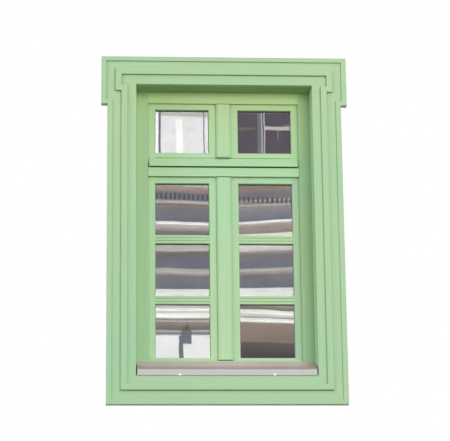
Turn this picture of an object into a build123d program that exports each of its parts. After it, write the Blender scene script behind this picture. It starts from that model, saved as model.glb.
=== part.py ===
import os
from math import atan2, cos, sqrt, tan

from build123d import *

os.makedirs("parts", exist_ok=True)

# Millimetres. The street face of the wall is the plane y = 0, +Y runs into the building and +Z is up.
# The origin is the middle of the surround's lower edge, on the wall face.

# Opening in the wall and the moulded surround planted round it
opening_width = 1100
opening_height = 1846
inner_band = 54
bead_band = 39
outer_band = 55
fillet_band = 32
head_inner_band = 62
head_outer_band = 50
head_fillet_band = 29
ear_width = 38
ear_height = 313
board_thickness = 36
bead_rise = 14
fillet_rise = 9
bead_softening = 4
board_softening = 3

# Reveal linings between the wall face and the window frame
reveal_depth = 114
lining_thickness = 18

# Fixed frame of the window
frame_depth = 68
jamb_face = 77
head_face = 73
lip_thickness = 16
splay_width = 18
splay_depth = 5
sill_lip_height = 117
frame_foot_height = 98
rebate_gap = 12
toplight_foot_gap = 4
mullion_half_face = 47
mullion_cover_gap = 6

# Where the transom lies, and how much of it shows between the leaves
transom_height = 1292
transom_face = 56

# Leaves: what shows of each member between the frame's lip and the glass
lip_clearance = 2
leaf_lap = 8
overlap_width = 26
toplight_foot_overlap = 20
overlap_thickness = 15
seal_height = 3
seal_width = 4
seal_inset = 1
seal_relief = 0.4
hinge_stile_face = 44
lock_stile_face = 45
casement_head_face = 42
casement_foot_face = 21
toplight_head_face = 39
toplight_foot_face = 102
bar_height = 54
bar_groove_spacing = 19
bar_groove_width = 3
bar_groove_depth = 4
lower_bar_rise = 385
upper_bar_rise = 771

# Glazing: sealed units of two sheets and a spacer, bedded against the street side and beaded inside
glass_arris = 3
glass_seat_depth = 21
glass_rebate = 15
glass_edge_gap = 3
sheet_thickness = 4
spacer_thickness = 16
spacer_width = 15
bead_thickness = 20
bead_width = 14
bead_chamfer = 5

# Planted cover strips and the weather bar of the toplight
cover_thickness = 18
cover_round_width = 20
cover_round_depth = 14
cover_head_gap = 5
cover_foot_chamfer = 4
cover_foot_chamfer_height = 8
weather_bar_height = 60
weather_bar_reach = 30
weather_nose_height = 22
weather_bar_foot_gap = 7
weather_bar_end_gap = 7
quirk_height = 3
quirk_depth = 4
drip_groove = 4
drip_groove_setback = 6
weather_nose_softening = 2

# Folded metal sill
sill_sheet = 2
sill_nose_height = 34
sill_nose_drop = 2
sill_nose_stand = 5
sill_rise = 54
sill_upstand = 26
sill_end_gap = 8
sill_bend = 4
end_cap_width = 30
end_cap_wall = 2
end_cap_rise = 12
end_cap_back_gap = 3
end_cap_sheet = 1.5
clip_offset = 287
clip_width = 14
clip_thickness = 1.5
clip_tail = 24
clip_hook = 10

# Hinges, pins and running clearances
knuckle_radius = 7.5
knuckle_height = 28
knuckle_gap = 0.2
knuckle_stand = 1
pin_radius = 4
pin_clearance = 0.05
pin_engagement = 18
bore_reserve = 1
barrel_chamfer = 1
stud_radius = 4
stud_clearance = 0.1
stud_length = 28
casement_hinge_rises = (120, 600, 1060)
toplight_knuckle_length = 10
toplight_pin_engagement = 8
toplight_pivot_drop = 1
toplight_leaf_drop = 2
toplight_leaf_length = 45
toplight_leaf_height = 26
toplight_leaf_thickness = 3

# Levers, spindles, locking rods and keeps
rose_width = 28
rose_height = 66
rose_thickness = 9
rose_corner = 10
rose_softening = 2
toplight_rose_radius = 17
neck_radius = 8
neck_clearance = 0.08
neck_end_gap = 0.2
neck_reach = 38
lever_thickness = 12
lever_length = 118
toplight_lever_length = 84
lever_root_radius = 11
lever_tip_radius = 8
lever_softening = 3
spindle_square = 7
spindle_clearance = 0.3
spindle_depth = 28
handle_rise = 583
handle_backset = 16
rod_width = 16
rod_thickness = 3
rod_clearance = 0.2
rod_depth = 26
rod_end_margin = 47
rod_travel = 18
cam_radius = 4
cam_reach = 8.5
cam_rises = (223, 1003)
keep_plate = 1.5
keep_hook_height = 5.5
keep_hook_thickness = 4
keep_hook_gap = 0.3
keep_release = 2
keep_margin = 8
keep_width = 20
tongue_width = 10
tongue_length = 43
tongue_thickness = 5.6
tongue_clearance = 0.2
tongue_depth = 28
tongue_play = 1
mortise_far = 34
mortise_near = 7
mortise_height = 13
toplight_keep_thickness = 2
toplight_keep_margin = 7
toplight_handle_drop = 14

# Fixing holes through the jambs, behind the leaves
fixing_radius = 3.75
fixing_spacing = 650
fixing_middle = 1100
fixing_depth = 40

# Half the band of depths that counts as one plane when edges are picked
plane_band = 0.01

# Levels and planes worked out from the sizes above
surround_width = inner_band + bead_band + outer_band + fillet_band
opening_half = opening_width / 2
opening_foot = surround_width
opening_head = opening_foot + opening_height
surround_top = opening_head + head_inner_band + bead_band + head_outer_band + head_fillet_band
ear_foot = surround_top - ear_height
outer_half = opening_half + surround_width
frame_front = reveal_depth
frame_back = frame_front + frame_depth
leaf_front = frame_front + lip_thickness + lip_clearance
overlap_front = frame_back + seal_height
leaf_back = overlap_front + overlap_thickness
hinge_depth = overlap_front + overlap_thickness / 2
frame_half = opening_half + lining_thickness
frame_top = opening_head + lining_thickness
lip_half = opening_half - jamb_face
lip_head = opening_head - head_face
lip_foot = opening_foot + sill_lip_height
frame_foot = lip_foot - frame_foot_height
transom_foot = opening_foot + transom_height
transom_top = transom_foot + transom_face
glass_front = leaf_front + glass_seat_depth
glass_back = glass_front + 2 * sheet_thickness + spacer_thickness
mullion_core_half = mullion_half_face - leaf_lap - rebate_gap
leaf_edge = lip_half + overlap_width
hinge_offset = leaf_edge + knuckle_stand + knuckle_radius
leaf_stud_rise = knuckle_height + knuckle_gap
toplight_pivot = transom_top - toplight_foot_overlap - toplight_pivot_drop
toplight_knuckle_near = leaf_edge + knuckle_stand
toplight_knuckle_far = toplight_knuckle_near + toplight_knuckle_length
toplight_barrel_near = toplight_knuckle_far + knuckle_gap
toplight_stud_offset = toplight_barrel_near + toplight_knuckle_length
handle_offset = mullion_half_face - leaf_lap + handle_backset
handle_height = lip_foot + handle_rise
toplight_handle_height = lip_head - toplight_handle_drop
spindle_bore = spindle_square / sqrt(2) + spindle_clearance
tongue_front = leaf_front + tongue_depth
tongue_back = tongue_front + tongue_thickness
rod_front = leaf_front + rod_depth
rod_back = rod_front + rod_width
cam_depth = (rod_front + rod_back) / 2
rod_edge = mullion_half_face - leaf_lap


def facade(depth):
    """The plane at this depth, seen from the street: sketch x is +X and sketch y is +Z."""
    return Plane(origin=(0, depth, 0), x_dir=(1, 0, 0), z_dir=(0, -1, 0))


def grown(rect, margin, foot_margin=None):
    """A rectangle (left, right, foot, head) moved out by a margin on each side."""
    left, right, foot, head = rect
    low = margin if foot_margin is None else foot_margin
    return (left - margin, right + margin, foot - low, head + margin)


def between(side, near, far, foot, head):
    """A rectangle on one side of the middle, from its distances to the middle."""
    low, high = sorted((side * near, side * far))
    return (low, high, foot, head)


def draw(rect, mode=Mode.ADD):
    """A rectangle in the sketch being drawn."""
    left, right, foot, head = rect
    with Locations(((left + right) / 2, (foot + head) / 2)):
        Rectangle(right - left, head - foot, mode=mode)


def slab(rect, front, back, mode=Mode.ADD):
    """Extrudes a rectangle of the facade from one depth to another."""
    with BuildSketch(facade(back)) as outline:
        draw(rect)
    extrude(outline.sketch, amount=back - front, mode=mode)


def splay(front_rect, front, back_rect, back, mode=Mode.ADD):
    """A splayed block between two rectangles of the facade."""
    with BuildSketch(facade(front)) as street_outline:
        draw(front_rect)
    with BuildSketch(facade(back)) as inner_outline:
        draw(back_rect)
    loft([street_outline.sketch.face(), inner_outline.sketch.face()], mode=mode)


def round_bar(start, direction, radius, length, mode=Mode.ADD):
    """A cylinder from a point along a direction."""
    with BuildSketch(Plane(origin=start, z_dir=direction)) as outline:
        Circle(radius)
    extrude(outline.sketch, amount=length, mode=mode)


def edges_at(piece, depth):
    """The edges of a piece that lie in one plane of the facade."""
    return piece.edges().filter_by_position(Axis.Y, depth - plane_band, depth + plane_band)


def save(piece, name):
    piece.part.label = name
    export_step(piece.part, f"parts/{name}.step")


# Moulded surround: a flat board with a raised bead and a raised outer fillet, all three stepping out
# into an ear on each side of the head. The legs and the foot piece meet in mitres and the head sits
# on the legs at the foot of the ears.
def moulding_line(side_offset, head_offset):
    """The eared outline at a distance outside the opening, as sketch points."""
    half = opening_half + side_offset
    wide = half + ear_width
    foot = opening_foot - side_offset
    top = opening_head + head_offset
    step = ear_foot + surround_width - side_offset
    leg = [(half, foot), (half, step), (wide, step), (wide, top)]
    return leg + [(-x, z) for x, z in reversed(leg)]


bead_inner_line = moulding_line(inner_band, head_inner_band)
bead_outer_line = moulding_line(inner_band + bead_band, head_inner_band + bead_band)
head_width = surround_top - opening_head
fillet_inner_line = moulding_line(surround_width - fillet_band, head_width - head_fillet_band)
outer_line = moulding_line(surround_width, head_width)
opening_rect = (-opening_half, opening_half, opening_foot, opening_head)

with BuildPart() as surround_ring:
    with BuildSketch(facade(0)):
        Polygon(outer_line)
        draw(opening_rect, mode=Mode.SUBTRACT)
    extrude(amount=board_thickness)
    with BuildSketch(facade(-board_thickness)):
        Polygon(bead_outer_line)
        Polygon(bead_inner_line, mode=Mode.SUBTRACT)
    extrude(amount=bead_rise)
    with BuildSketch(facade(-board_thickness)):
        Polygon(outer_line)
        Polygon(fillet_inner_line, mode=Mode.SUBTRACT)
    extrude(amount=fillet_rise)
    bead_face = -board_thickness - bead_rise
    fillet_face = -board_thickness - fillet_rise
    fillet(edges_at(surround_ring, bead_face), bead_softening)
    fillet(edges_at(surround_ring, fillet_face), board_softening)
    reach = opening_half + plane_band
    arris = edges_at(surround_ring, -board_thickness).filter_by_position(Axis.X, -reach, reach)
    arris = arris.filter_by_position(Axis.Z, opening_foot - plane_band, opening_head + plane_band)
    fillet(arris, board_softening)

leg_outline = [
    (outer_half, 0),
    (outer_half, ear_foot),
    (opening_half, ear_foot),
    (opening_half, opening_foot),
]
head_half = outer_half + ear_width
surround_regions = {
    "surround_head": [
        (-head_half, ear_foot),
        (head_half, ear_foot),
        (head_half, surround_top),
        (-head_half, surround_top),
    ],
    "surround_left": [(-x, z) for x, z in leg_outline],
    "surround_right": leg_outline,
    "surround_bottom": [
        (-outer_half, 0),
        (outer_half, 0),
        (opening_half, opening_foot),
        (-opening_half, opening_foot),
    ],
}
for name, region in surround_regions.items():
    with BuildPart() as surround_piece:
        add(surround_ring.part)
        with BuildSketch(facade(0)):
            Polygon(region)
        extrude(amount=board_thickness + bead_rise, mode=Mode.INTERSECT)
    save(surround_piece, name)


# Reveal linings: plain boards from the wall face back to the window frame.
for name, side in (("left", -1), ("right", 1)):
    with BuildPart() as lining:
        slab(between(side, opening_half, frame_half, opening_foot, opening_head), 0, reveal_depth)
    save(lining, f"lining_{name}")

with BuildPart() as lining_head:
    slab((-frame_half, frame_half, opening_head, frame_top), 0, reveal_depth)
save(lining_head, "lining_head")


# The three glazed openings of the frame, by the rectangle of the lip that shows round each.
casement_lips = {side: between(side, mullion_half_face, lip_half, lip_foot, transom_foot) for side in (-1, 1)}
toplight_lip = (-lip_half, lip_half, transom_top, lip_head)
window_lip = (-lip_half, lip_half, lip_foot, lip_head)

with BuildPart() as frame_openings:
    for lip in (casement_lips[-1], casement_lips[1]):
        slab(lip, frame_front, frame_back)
        slab(grown(lip, leaf_lap + rebate_gap), frame_front + lip_thickness, frame_back)
    slab(toplight_lip, frame_front, frame_back)
    slab(
        grown(toplight_lip, leaf_lap + rebate_gap, leaf_lap + toplight_foot_gap),
        frame_front + lip_thickness,
        frame_back,
    )

# Jambs, head, transom and bottom rail: rebated timbers, the rails standing between the jambs. The
# jambs and the head carry a splay on their street edge.
for name, side in (("left", -1), ("right", 1)):
    with BuildPart() as jamb:
        slab(between(side, lip_half, frame_half, frame_foot, frame_top), frame_front, frame_back)
        add(frame_openings.part, mode=Mode.SUBTRACT)
        splay(
            grown(window_lip, splay_width),
            frame_front,
            window_lip,
            frame_front + splay_depth,
            Mode.SUBTRACT,
        )
        stud_places = [(side * hinge_offset, lip_foot + rise) for rise in casement_hinge_rises]
        stud_places.append((side * toplight_stud_offset, toplight_pivot))
        with BuildSketch(facade(frame_back)):
            with Locations(stud_places):
                Circle(stud_radius + stud_clearance)
        extrude(amount=stud_length, mode=Mode.SUBTRACT)
        with BuildSketch(Plane.YZ.offset(side * frame_half)):
            with Locations((frame_front + fixing_depth, fixing_middle)):
                with GridLocations(0, fixing_spacing, 1, 3):
                    Circle(fixing_radius)
        extrude(amount=-side * (frame_half - lip_half), mode=Mode.SUBTRACT)
    save(jamb, f"frame_jamb_{name}")

keep_wall = lip_head + leaf_lap + rebate_gap
with BuildPart() as frame_head:
    slab((-lip_half, lip_half, lip_head, frame_top), frame_front, frame_back)
    add(frame_openings.part, mode=Mode.SUBTRACT)
    splay(
        grown(window_lip, splay_width),
        frame_front,
        window_lip,
        frame_front + splay_depth,
        Mode.SUBTRACT,
    )
    mortise = (-mortise_far, mortise_near, keep_wall, keep_wall + mortise_height)
    slab(mortise, tongue_front - tongue_play, tongue_back + tongue_play, Mode.SUBTRACT)
save(frame_head, "frame_head")

with BuildPart() as transom:
    slab((-lip_half, lip_half, transom_foot, transom_top), frame_front, frame_back)
    add(frame_openings.part, mode=Mode.SUBTRACT)
save(transom, "transom")

with BuildPart() as frame_bottom_rail:
    slab((-lip_half, lip_half, frame_foot, lip_foot), frame_front, frame_back)
    add(frame_openings.part, mode=Mode.SUBTRACT)
save(frame_bottom_rail, "frame_bottom_rail")

with BuildPart() as mullion:
    core = (-mullion_core_half, mullion_core_half, lip_foot, transom_foot)
    slab(core, frame_front + lip_thickness, frame_back)
save(mullion, "mullion")


# Cover strips: rounded boards planted over the mullion and over the middle post of the toplight.
def cover_strip(face, back, foot, head):
    """A board with elliptically rounded street edges, standing from foot to head."""
    flat_half = mullion_half_face - cover_round_width
    shoulder = face + cover_round_depth
    with BuildSketch(Plane.XY.offset(foot)) as outline:
        with BuildLine():
            Line((-flat_half, face), (flat_half, face))
            EllipticalCenterArc(
                (flat_half, shoulder),
                cover_round_width,
                cover_round_depth,
                start_angle=-90,
                arc_size=90,
            )
            Polyline(
                (mullion_half_face, shoulder),
                (mullion_half_face, back),
                (-mullion_half_face, back),
                (-mullion_half_face, shoulder),
            )
            EllipticalCenterArc(
                (-flat_half, shoulder),
                cover_round_width,
                cover_round_depth,
                start_angle=180,
                arc_size=90,
            )
        make_face()
    extrude(outline.sketch, amount=head - foot)


cover_face = frame_front + lip_thickness - cover_thickness
with BuildPart() as mullion_cover:
    cover_strip(
        cover_face,
        frame_front + lip_thickness,
        lip_foot + mullion_cover_gap,
        transom_foot - mullion_cover_gap,
    )
save(mullion_cover, "mullion_cover")


# Leaves. Each is a frame of two stiles with the rails between them, rebated for the glass from the
# room side. The body of the leaf stands in the frame's rebate and the overlap laps onto its room face.
def leaf_blank(lip, foot_overlap):
    """The outer form of a leaf for one opening of the frame."""
    slab(grown(lip, leaf_lap), leaf_front, leaf_back)
    slab(grown(lip, overlap_width, foot_overlap), overlap_front, leaf_back)


def leaf_member(lip, foot_overlap, region, panes):
    """The part of a leaf that lies in one region, cut out for the panes."""
    leaf_blank(lip, foot_overlap)
    slab(region, leaf_front, leaf_back, Mode.INTERSECT)
    for pane in panes:
        slab(pane, leaf_front, leaf_back, Mode.SUBTRACT)
        splay(grown(pane, glass_arris), leaf_front, pane, leaf_front + glass_arris, Mode.SUBTRACT)
        slab(grown(pane, glass_rebate), glass_front, leaf_back, Mode.SUBTRACT)


def glazing(panes, name):
    """The sealed units of a leaf: two sheets with a spacer between them at each pane."""
    spacer_front = glass_front + sheet_thickness
    spacer_back = glass_back - sheet_thickness
    with BuildPart() as sheets:
        for pane in panes:
            edge = grown(pane, glass_rebate - glass_edge_gap)
            slab(edge, glass_front, spacer_front)
            slab(edge, spacer_back, glass_back)
    with BuildPart() as spacers:
        for pane in panes:
            edge = grown(pane, glass_rebate - glass_edge_gap)
            slab(edge, spacer_front, spacer_back)
            slab(grown(edge, -spacer_width), spacer_front, spacer_back, Mode.SUBTRACT)
    units = Compound(sheets.part.solids() + spacers.part.solids())
    units.label = name
    export_step(units, f"parts/{name}.step")


def glazing_beads(panes, name):
    """The mitred beads that hold the units, one frame of them at each pane."""
    with BuildPart() as beads:
        for pane in panes:
            sight = grown(pane, glass_rebate - bead_width)
            bead_back = glass_back + bead_thickness
            slab(grown(pane, glass_rebate), glass_back, bead_back)
            slab(sight, glass_back, bead_back, Mode.SUBTRACT)
            splay(sight, bead_back - bead_chamfer, grown(sight, bead_chamfer), bead_back, Mode.SUBTRACT)
    save(beads, name)


def rose(offset, height, name, radius=None):
    """A handle rose on the room side of a leaf, long or round, bored for the neck."""
    with BuildPart() as plate:
        with BuildSketch(facade(leaf_back + rose_thickness)) as outline:
            with Locations((offset, height)):
                if radius is None:
                    RectangleRounded(rose_width, rose_height, rose_corner)
                else:
                    Circle(radius)
        extrude(outline.sketch, amount=rose_thickness)
        fillet(edges_at(plate, leaf_back + rose_thickness), rose_softening)
        round_bar(
            (offset, leaf_back, height),
            (0, 1, 0),
            neck_radius + neck_clearance,
            rose_thickness,
            Mode.SUBTRACT,
        )
    save(plate, name)


def lever_handle(offset, height, reach, spindle_front, name):
    """A lever with its neck and square spindle; the reach is positive to the right."""
    lever_front = leaf_back + neck_reach
    tip = offset + reach - lever_tip_radius * reach / abs(reach)
    half_square = spindle_square / 2
    with BuildPart() as handle:
        with BuildSketch(facade(lever_front + lever_thickness)) as outline:
            with Locations((offset, height)):
                Circle(lever_root_radius)
            with Locations((tip, height)):
                Circle(lever_tip_radius)
            make_hull()
        extrude(outline.sketch, amount=lever_thickness)
        fillet(handle.faces().filter_by(Axis.Y).edges(), lever_softening)
        round_bar(
            (offset, leaf_back + neck_end_gap, height),
            (0, 1, 0),
            neck_radius,
            neck_reach - neck_end_gap,
        )
        square = (offset - half_square, offset + half_square, height - half_square, height + half_square)
        slab(square, spindle_front, leaf_back + neck_end_gap)
    save(handle, name)


# Casements: two side-hung leaves of three panes each, opening into the room.
for name, side in (("left", -1), ("right", 1)):
    leaf = f"casement_{name}"
    lip = casement_lips[side]
    glass_near = mullion_half_face + lock_stile_face
    glass_far = lip_half - hinge_stile_face
    glass_foot = lip_foot + casement_foot_face
    glass_head = transom_foot - casement_head_face
    overlap_foot = lip_foot - overlap_width
    overlap_head = transom_foot + overlap_width
    overlap_near = mullion_half_face - overlap_width
    bar_levels = [lip_foot + lower_bar_rise, lip_foot + upper_bar_rise]
    pane_feet = [glass_foot] + [level + bar_height / 2 for level in bar_levels]
    pane_heads = [level - bar_height / 2 for level in bar_levels] + [glass_head]
    panes = [between(side, glass_near, glass_far, foot, head) for foot, head in zip(pane_feet, pane_heads)]

    with BuildPart() as hinge_stile:
        region = between(side, glass_far, leaf_edge, overlap_foot, overlap_head)
        leaf_member(lip, overlap_width, region, panes)
        for rise in casement_hinge_rises:
            level = lip_foot + rise + leaf_stud_rise
            round_bar(
                (side * leaf_edge, hinge_depth, level),
                (-side, 0, 0),
                stud_radius + stud_clearance,
                stud_length,
                Mode.SUBTRACT,
            )
    save(hinge_stile, f"{leaf}_hinge_stile")

    with BuildPart() as lock_stile:
        region = between(side, overlap_near, glass_near, overlap_foot, overlap_head)
        leaf_member(lip, overlap_width, region, panes)
        rod_groove = between(
            side,
            rod_edge,
            rod_edge + rod_thickness + rod_clearance,
            lip_foot - leaf_lap,
            transom_foot + leaf_lap,
        )
        slab(rod_groove, rod_front, rod_back, Mode.SUBTRACT)
        round_bar(
            (side * handle_offset, leaf_back, handle_height),
            (0, -1, 0),
            spindle_bore,
            spindle_depth + bore_reserve,
            Mode.SUBTRACT,
        )
    save(lock_stile, f"{leaf}_lock_stile")

    rails = {
        "bottom_rail": (overlap_foot, glass_foot),
        "lower_bar": (pane_heads[0], pane_feet[1]),
        "upper_bar": (pane_heads[1], pane_feet[2]),
        "top_rail": (glass_head, overlap_head),
    }
    for rail_name, (foot, head) in rails.items():
        with BuildPart() as rail:
            leaf_member(lip, overlap_width, between(side, glass_near, glass_far, foot, head), panes)
            if rail_name.endswith("bar"):
                middle = (foot + head) / 2
                for groove_level in (middle - bar_groove_spacing / 2, middle + bar_groove_spacing / 2):
                    groove = between(
                        side,
                        glass_near,
                        glass_far,
                        groove_level - bar_groove_width / 2,
                        groove_level + bar_groove_width / 2,
                    )
                    slab(groove, leaf_front, leaf_front + bar_groove_depth, Mode.SUBTRACT)
        save(rail, f"{leaf}_{rail_name}")

    glazing(panes, f"{leaf}_panes")
    glazing_beads(panes, f"{leaf}_beads")
    rose(side * handle_offset, handle_height, f"{leaf}_rose")
    lever_handle(
        side * handle_offset,
        handle_height,
        side * lever_length,
        leaf_back - spindle_depth,
        f"{leaf}_handle",
    )

    # The locking rod slides in the groove of the lock stile and carries a cam for each keep.
    with BuildPart() as rod:
        rod_region = between(
            side,
            rod_edge,
            rod_edge + rod_thickness,
            lip_foot - leaf_lap + rod_end_margin,
            transom_foot + leaf_lap - rod_end_margin,
        )
        slab(rod_region, rod_front + rod_clearance, rod_back - rod_clearance)
        for rise in cam_rises:
            round_bar(
                (side * rod_edge, cam_depth, lip_foot + rise),
                (-side, 0, 0),
                cam_radius,
                cam_reach,
            )
    save(rod, f"{leaf}_rod")

    with BuildPart() as hinge_halves:
        for rise in casement_hinge_rises:
            barrel_foot = lip_foot + rise + knuckle_height / 2 + knuckle_gap
            barrel_start = (side * hinge_offset, hinge_depth, barrel_foot)
            round_bar(barrel_start, (0, 0, 1), knuckle_radius, knuckle_height)
        chamfer(hinge_halves.edges().filter_by(GeomType.CIRCLE), barrel_chamfer)
        for rise in casement_hinge_rises:
            barrel_foot = lip_foot + rise + knuckle_height / 2 + knuckle_gap
            round_bar(
                (side * hinge_offset, hinge_depth, lip_foot + rise + leaf_stud_rise),
                (-side, 0, 0),
                stud_radius,
                hinge_offset - leaf_edge + stud_length,
            )
            round_bar(
                (side * hinge_offset, hinge_depth, barrel_foot),
                (0, 0, 1),
                pin_radius + pin_clearance,
                pin_engagement + bore_reserve,
                Mode.SUBTRACT,
            )
    save(hinge_halves, f"{leaf}_hinge_halves")

# Frame halves of the casement hinges, each with its pin and the stud that stands in the jamb
with BuildPart() as frame_halves:
    places = [(side * hinge_offset, lip_foot + rise) for side in (-1, 1) for rise in casement_hinge_rises]
    for x, level in places:
        round_bar((x, hinge_depth, level - knuckle_height / 2), (0, 0, 1), knuckle_radius, knuckle_height)
    chamfer(frame_halves.edges().filter_by(GeomType.CIRCLE), barrel_chamfer)
    for x, level in places:
        round_bar((x, hinge_depth, level), (0, 0, 1), pin_radius, knuckle_height / 2 + pin_engagement)
        round_bar((x, hinge_depth, level), (0, -1, 0), stud_radius, hinge_depth - frame_back + stud_length)
save(frame_halves, "casement_hinge_frame_halves")

# Keeps on the edges of the mullion: a plate with a hook that the cam of the rod slides down behind
with BuildPart() as lock_keeps:
    for side in (-1, 1):
        for rise in cam_rises:
            level = lip_foot + rise
            hook_head = level - cam_radius - keep_release
            hook_foot = level - rod_travel - cam_radius - keep_release
            plate_edge = mullion_core_half + keep_plate
            plate = between(side, mullion_core_half, plate_edge, hook_foot - keep_margin, level + keep_margin)
            slab(plate, rod_front, rod_front + keep_width)
            hook = between(side, plate_edge, plate_edge + keep_hook_height, hook_foot, hook_head)
            hook_front = cam_depth + cam_radius + keep_hook_gap
            slab(hook, hook_front, hook_front + keep_hook_thickness)
save(lock_keeps, "lock_keeps")


# Toplight: one bottom-hung leaf across the whole window, tilting into the room at its head.
glass_foot = transom_top + toplight_foot_face
glass_head = lip_head - toplight_head_face
glass_near = mullion_half_face + lock_stile_face
glass_far = lip_half - hinge_stile_face
overlap_foot = transom_top - toplight_foot_overlap
overlap_head = lip_head + overlap_width
toplight_panes = [between(side, glass_near, glass_far, glass_foot, glass_head) for side in (-1, 1)]

for name, side in (("left", -1), ("right", 1)):
    with BuildPart() as stile:
        region = between(side, glass_far, leaf_edge, overlap_foot, overlap_head)
        leaf_member(toplight_lip, toplight_foot_overlap, region, toplight_panes)
    save(stile, f"toplight_stile_{name}")

weather_bar_foot = transom_top + weather_bar_foot_gap
weather_bar_head = weather_bar_foot + weather_bar_height
with BuildPart() as toplight_bottom_rail:
    region = (-glass_far, glass_far, overlap_foot, glass_foot)
    leaf_member(toplight_lip, toplight_foot_overlap, region, toplight_panes)
    quirk = (-glass_far, glass_far, weather_bar_head, weather_bar_head + quirk_height)
    slab(quirk, leaf_front, leaf_front + quirk_depth, Mode.SUBTRACT)
save(toplight_bottom_rail, "toplight_bottom_rail")

with BuildPart() as toplight_post:
    region = (-glass_near, glass_near, glass_foot, glass_head)
    leaf_member(toplight_lip, toplight_foot_overlap, region, toplight_panes)
save(toplight_post, "toplight_post")

with BuildPart() as toplight_top_rail:
    region = (-glass_far, glass_far, glass_head, overlap_head)
    leaf_member(toplight_lip, toplight_foot_overlap, region, toplight_panes)
    tongue_slot = (
        -tongue_length - tongue_play,
        tongue_width / 2 + tongue_play,
        toplight_handle_height - tongue_width / 2 - tongue_play,
        lip_head + leaf_lap,
    )
    slab(tongue_slot, tongue_front - tongue_clearance, tongue_back + tongue_clearance, Mode.SUBTRACT)
    round_bar(
        (0, leaf_back, toplight_handle_height),
        (0, -1, 0),
        spindle_bore,
        leaf_back - tongue_back,
        Mode.SUBTRACT,
    )
save(toplight_top_rail, "toplight_top_rail")

glazing(toplight_panes, "toplight_panes")
glazing_beads(toplight_panes, "toplight_beads")
rose(0, toplight_handle_height, "toplight_rose", toplight_rose_radius)
lever_handle(0, toplight_handle_height, toplight_lever_length, tongue_back, "toplight_handle")

with BuildPart() as tongue:
    with BuildSketch(facade(tongue_back)) as outline:
        with Locations((0, toplight_handle_height)):
            Circle(tongue_width / 2)
        tongue_top = toplight_handle_height + tongue_width / 2
        draw((-tongue_length, 0, toplight_handle_height - tongue_width / 2, tongue_top))
    extrude(outline.sketch, amount=tongue_thickness)
save(tongue, "toplight_tongue")

with BuildPart() as toplight_keep:
    keep_foot = keep_wall - toplight_keep_thickness
    plate = (-mortise_far - toplight_keep_margin, mortise_near + toplight_keep_margin, keep_foot, keep_wall)
    slab(plate, tongue_front - toplight_keep_margin, tongue_back + toplight_keep_margin)
    slot = (-mortise_far, mortise_near, keep_foot, keep_wall)
    slab(slot, tongue_front - tongue_play, tongue_back + tongue_play, Mode.SUBTRACT)
save(toplight_keep, "toplight_keep")

weather_nose = leaf_front - weather_bar_reach
weather_half = lip_half - weather_bar_end_gap
with BuildPart() as weather_bar:
    with BuildSketch(Plane.YZ.offset(-weather_half)):
        with BuildLine():
            Polyline(
                (leaf_front, weather_bar_foot),
                (weather_nose, weather_bar_foot),
                (weather_nose, weather_bar_foot + weather_nose_height),
                (leaf_front, weather_bar_head),
                close=True,
            )
        make_face()
        groove_front = weather_nose + drip_groove_setback
        groove_head = weather_bar_foot + drip_groove
        draw((groove_front, groove_front + drip_groove, weather_bar_foot, groove_head), Mode.SUBTRACT)
    extrude(amount=2 * weather_half)
    nose_edges = edges_at(weather_bar, weather_nose).filter_by(Axis.X)
    fillet(nose_edges, weather_nose_softening)
save(weather_bar, "toplight_weather_bar")

toplight_cover_foot = weather_bar_head + quirk_height
with BuildPart() as toplight_cover:
    cover_strip(cover_face, leaf_front, toplight_cover_foot, lip_head - cover_head_gap)
    with BuildSketch(Plane.YZ.offset(-mullion_half_face)):
        Polygon(
            (cover_face, toplight_cover_foot),
            (cover_face + cover_foot_chamfer, toplight_cover_foot),
            (cover_face, toplight_cover_foot + cover_foot_chamfer_height),
            align=None,
        )
    extrude(amount=2 * mullion_half_face, mode=Mode.SUBTRACT)
save(toplight_cover, "toplight_cover")

# Hinges at the foot of the toplight: the leaf half is a knuckle on a plate against the leaf's room face
with BuildPart() as toplight_hinge_halves:
    for side in (-1, 1):
        round_bar(
            (side * toplight_knuckle_near, hinge_depth, toplight_pivot),
            (side, 0, 0),
            knuckle_radius,
            toplight_knuckle_length,
        )
        plate_foot = toplight_pivot - toplight_leaf_drop
        web_head = toplight_pivot + knuckle_radius
        web = between(side, toplight_knuckle_near, toplight_knuckle_far, plate_foot, web_head)
        slab(web, hinge_depth, leaf_back)
        plate = between(
            side,
            leaf_edge - toplight_leaf_length,
            toplight_knuckle_far,
            plate_foot,
            plate_foot + toplight_leaf_height,
        )
        slab(plate, leaf_back, leaf_back + toplight_leaf_thickness)
        round_bar(
            (side * toplight_knuckle_far, hinge_depth, toplight_pivot),
            (-side, 0, 0),
            pin_radius + pin_clearance,
            toplight_pin_engagement + bore_reserve,
            Mode.SUBTRACT,
        )
save(toplight_hinge_halves, "toplight_hinge_halves")

with BuildPart() as toplight_frame_halves:
    for side in (-1, 1):
        round_bar(
            (side * toplight_barrel_near, hinge_depth, toplight_pivot),
            (side, 0, 0),
            knuckle_radius,
            2 * toplight_knuckle_length,
        )
    chamfer(toplight_frame_halves.edges().filter_by(GeomType.CIRCLE), barrel_chamfer)
    for side in (-1, 1):
        pin_end = toplight_knuckle_far - toplight_pin_engagement
        round_bar(
            (side * toplight_stud_offset, hinge_depth, toplight_pivot),
            (-side, 0, 0),
            pin_radius,
            toplight_stud_offset - pin_end,
        )
        round_bar(
            (side * toplight_stud_offset, hinge_depth, toplight_pivot),
            (0, -1, 0),
            stud_radius,
            hinge_depth - frame_back + stud_length,
        )
save(toplight_frame_halves, "toplight_hinge_frame_halves")

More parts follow.
